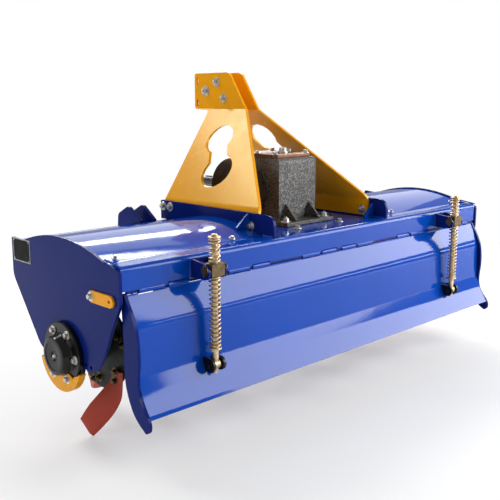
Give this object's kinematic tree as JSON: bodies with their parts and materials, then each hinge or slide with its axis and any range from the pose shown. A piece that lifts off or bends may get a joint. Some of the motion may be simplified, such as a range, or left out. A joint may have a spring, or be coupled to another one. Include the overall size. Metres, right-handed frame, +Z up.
{
  "type": "rotary tiller",
  "caption": "Tractor-mounted rotary tiller with arched hood, hinged rear flap on spring rods, three-point mast, centre gearbox and a toothed rotor of curved blades.",
  "frame": {"origin": "on the floor under the middle of the machine's bounding box", "axes": "+X to the operator's right looking forward, along the rotor; +Y forward towards the tractor; +Z up"},
  "size_m": [1.5734, 0.67, 0.9047],
  "materials": {
    "blue_paint": "gloss enamel",
    "yellow_paint": "gloss enamel",
    "black_cast_iron": "painted rough casting",
    "red_blade_paint": "satin",
    "black_paint": "satin",
    "black_plastic": "moulded",
    "yellow_zinc": "yellow passivated zinc",
    "bright_zinc": "bright zinc"
  },
  "bodies": {
    "frame": {"bearing_hub_left": "black_cast_iron", "bearing_hub_right": "black_cast_iron", "deck_plate": "blue_paint", "drive_case": "black_cast_iron", "flap_latch_left": "yellow_paint", "flap_latch_right": "yellow_paint", "front_beam": "blue_paint", "gearbox": "black_cast_iron", "gearbox_cover": "black_cast_iron", "hinge_rod": "bright_zinc", "hitch_rail_left": "blue_paint", "hitch_rail_right": "blue_paint", "hood_sheet_left": "blue_paint", "hood_sheet_right": "blue_paint", "hub_guard_left": "yellow_paint", "hub_guard_right": "yellow_paint", "lower_hitch_bracket_left": "blue_paint", "lower_hitch_bracket_right": "blue_paint", "lower_hitch_pin_left": "bright_zinc", "lower_hitch_pin_right": "bright_zinc", "mast_bolt_lower": "bright_zinc", "mast_bolt_upper": "bright_zinc", "mast_plate_left": "yellow_paint", "mast_plate_right": "yellow_paint", "pto_guard": "black_plastic", "rear_beam": "blue_paint", "rod_bracket_left": "blue_paint", "rod_bracket_right": "blue_paint", "side_plate_left": "blue_paint", "side_plate_right": "blue_paint", "stand_socket": "blue_paint", "top_link_pin": "bright_zinc"},
    "swivel_left": {"rod_swivel_left": "bright_zinc", "upper_spring_left": "yellow_zinc"},
    "rod_left": {"spring_rod_left": "yellow_zinc", "lower_spring_left": "yellow_zinc"},
    "swivel_right": {"rod_swivel_right": "bright_zinc", "upper_spring_right": "yellow_zinc"},
    "rod_right": {"spring_rod_right": "yellow_zinc", "lower_spring_right": "yellow_zinc"},
    "rotor": {"blade_ring_1_left": "red_blade_paint", "blade_ring_1_right": "red_blade_paint", "blade_ring_2_left": "red_blade_paint", "blade_ring_2_right": "red_blade_paint", "blade_ring_3_left": "red_blade_paint", "blade_ring_3_right": "red_blade_paint", "rotor_shaft_left": "black_paint", "rotor_shaft_right": "black_paint"},
    "input": {"input_shaft": "bright_zinc"},
    "flap": {"flap_panel": "blue_paint", "flap_end_left": "blue_paint", "flap_end_right": "blue_paint"},
    "stand": {"parking_stand": "yellow_paint"}
  },
  "joints": [
    {"name": "rotor_spin", "type": "hinge", "parent": "frame", "child": "rotor", "pos_m": [0, -0.02396, 0.21666], "axis": [1, 0, 0], "continuous": true},
    {"name": "input_spin", "type": "hinge", "parent": "frame", "child": "input", "pos_m": [0, 0.24404, 0.55766], "axis": [0, 1, 0], "continuous": true},
    {"name": "flap_swing", "type": "hinge", "parent": "frame", "child": "flap", "pos_m": [0, -0.25046, 0.40366], "axis": [-1, 0, 0], "range_deg": [0, 45]},
    {"name": "stand_slide", "type": "slide", "parent": "frame", "child": "stand", "axis": [0, 0, 1], "range_m": [0, 0.25]},
    {"name": "swivel_left_tilt", "type": "hinge", "parent": "frame", "child": "swivel_left", "pos_m": [-0.52, -0.30996, 0.43466], "axis": [-1, 0, 0], "range_deg": [0, 43]},
    {"name": "rod_left_slide", "type": "slide", "parent": "swivel_left", "child": "rod_left", "axis": [0, 0, 1], "range_m": [0, 0.052], "deforming": ["lower_spring_left"]},
    {"name": "swivel_right_tilt", "type": "hinge", "parent": "frame", "child": "swivel_right", "pos_m": [0.52, -0.30996, 0.43466], "axis": [-1, 0, 0], "range_deg": [0, 43]},
    {"name": "rod_right_slide", "type": "slide", "parent": "swivel_right", "child": "rod_right", "axis": [0, 0, 1], "range_m": [0, 0.052], "deforming": ["lower_spring_right"]}
  ],
  "couplings": [
    {"joint": "input_spin", "follows": "rotor_spin", "ratio": 2.4545},
    {"joint": "swivel_left_tilt", "follows": "flap_swing", "ratio": 0.946},
    {"joint": "rod_left_slide", "follows": "flap_swing", "m_per_rad": 0.0646},
    {"joint": "swivel_right_tilt", "follows": "flap_swing", "ratio": 0.946},
    {"joint": "rod_right_slide", "follows": "flap_swing", "m_per_rad": 0.0646}
  ]
}
